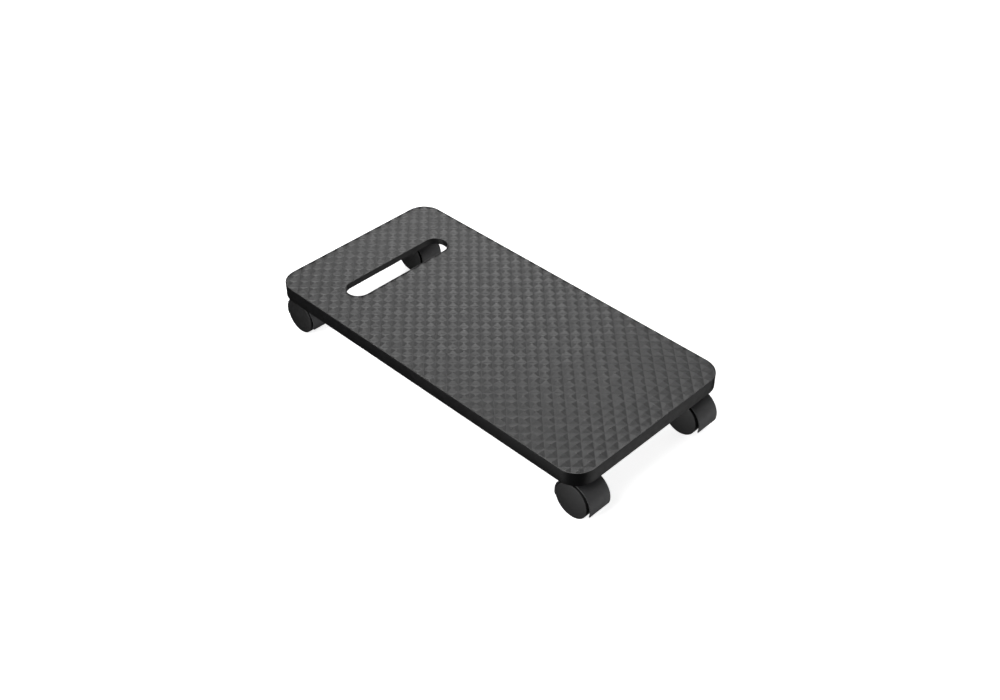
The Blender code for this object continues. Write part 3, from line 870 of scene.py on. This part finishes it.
# Banks of equal soft panels: azimuths, elevation, width, watts of each panel.  Azimuth 0 is the
# -Y side and 90 the +X side.  Banks below the horizon stand in for light from the ground.
BANKS = {
    "overhead": ((115, 135, 155), 57, 0.75, 5.0),
    "rear": ((95, 115, 135, 155), 27, 0.75, 2.0),
    "rear_low": ((135, 155), 12, 0.75, 2.5),
    "left_fill": ((-90,), 45, 1.2, 36.0),
    "side_fill": ((-135, -45, 45), 18, 1.2, 4.0),
    "ground": ((-105, 105, 165), -12, 1.1, 14.0),
    "front_ground": ((15, 45), -12, 1.1, 4.0),
    "near_ground": ((-105, 15, 45), -39, 1.0, 2.0),
}
PANEL_DISTANCE = 2.2
STAGE_RADIUS = 6.0
FLOOR_GLOW = 0.85
WORLD_STRENGTH = 0.01

# The camera looks at a point on the plane of the pyramids' tips; angles are in degrees
CAMERA_AIM = (-25.2 * MM, -37.5 * MM)
CAMERA_AZIMUTH = -45.31
CAMERA_ELEVATION = 39.14
CAMERA_ROLL = -0.14
CAMERA_DISTANCE = 1.3518
CAMERA_LENS = 47.73
CAMERA_SENSOR = 36.0


def direction(azimuth, elevation):
    a = math.radians(azimuth)
    e = math.radians(elevation)
    return Vector((math.sin(a) * math.cos(e), -math.cos(a) * math.cos(e), math.sin(e)))


def add_panel(name, azimuth, elevation, width, watts):
    """A soft square panel that faces the object."""
    data = bpy.data.lights.new(name, "AREA")
    data.shape = "SQUARE"
    data.size = width
    data.energy = watts
    made = bpy.data.objects.new(name, data)
    bpy.context.scene.collection.objects.link(made)
    away = direction(azimuth, elevation)
    made.location = away * PANEL_DISTANCE
    made.rotation_mode = "QUATERNION"
    made.rotation_quaternion = (-away).to_track_quat("-Z", "Y")


def build_floor():
    """A white floor and backdrop; they send no light back, which the ground panels do."""
    bpy.ops.mesh.primitive_plane_add(size=2 * STAGE_RADIUS, location=(0, 0, 0))
    floor = bpy.context.object
    floor.name = "floor"
    bpy.ops.mesh.primitive_uv_sphere_add(segments=48, ring_count=24, radius=STAGE_RADIUS)
    backdrop = bpy.context.object
    backdrop.name = "backdrop"
    made, tree, shader, coordinates = start_material("pale_floor", 0.2)
    tone = spread(tree, noise(tree, coordinates, scale=3.0, detail=2.0), 0.3, 0.7)
    tree.links.new(blend_colours(tree, tone, grey(0.86), grey(0.88)), shader.inputs["Base Color"])
    shader.inputs["Roughness"].default_value = 0.8
    shader.inputs["Emission Color"].default_value = (1, 1, 1, 1)
    shader.inputs["Emission Strength"].default_value = FLOOR_GLOW
    for part in (floor, backdrop):
        part.data.materials.append(made)
        part.visible_diffuse = False
        part.visible_glossy = False
        part.visible_shadow = False


def build_stage():
    build_floor()
    world = bpy.data.worlds.new("studio")
    world.use_nodes = True
    background = world.node_tree.nodes["Background"]
    background.inputs["Color"].default_value = (1, 1, 1, 1)
    background.inputs["Strength"].default_value = WORLD_STRENGTH
    bpy.context.scene.world = world
    for name, (azimuths, elevation, width, watts) in BANKS.items():
        for azimuth in azimuths:
            add_panel(f"{name}_{azimuth}", azimuth, elevation, width, watts)
    bpy.context.scene.view_settings.view_transform = "Standard"


def build_camera():
    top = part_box("platform")[1].z
    aim = Vector((*CAMERA_AIM, top))
    back = direction(CAMERA_AZIMUTH, CAMERA_ELEVATION)
    data = bpy.data.cameras.new("camera")
    data.sensor_width = CAMERA_SENSOR
    data.lens = CAMERA_LENS
    data.clip_start = 0.05
    data.clip_end = 50.0
    camera = bpy.data.objects.new("camera", data)
    bpy.context.scene.collection.objects.link(camera)
    camera.location = aim + back * CAMERA_DISTANCE
    level = (-back).to_track_quat("-Z", "Y")
    camera.rotation_mode = "QUATERNION"
    camera.rotation_quaternion = level @ Quaternion((0, 0, 1), math.radians(CAMERA_ROLL))
    bpy.context.scene.camera = camera


def clear_stage():
    for old in [item for item in bpy.data.objects if item.type in ("LIGHT", "CAMERA")]:
        bpy.data.objects.remove(old)


clear_stage()
MATERIALS = make_materials()
build_camera()
build_stage()
build_platform()
shared_meshes = caster_meshes()
for caster in CASTERS:
    build_caster(caster, shared_meshes)
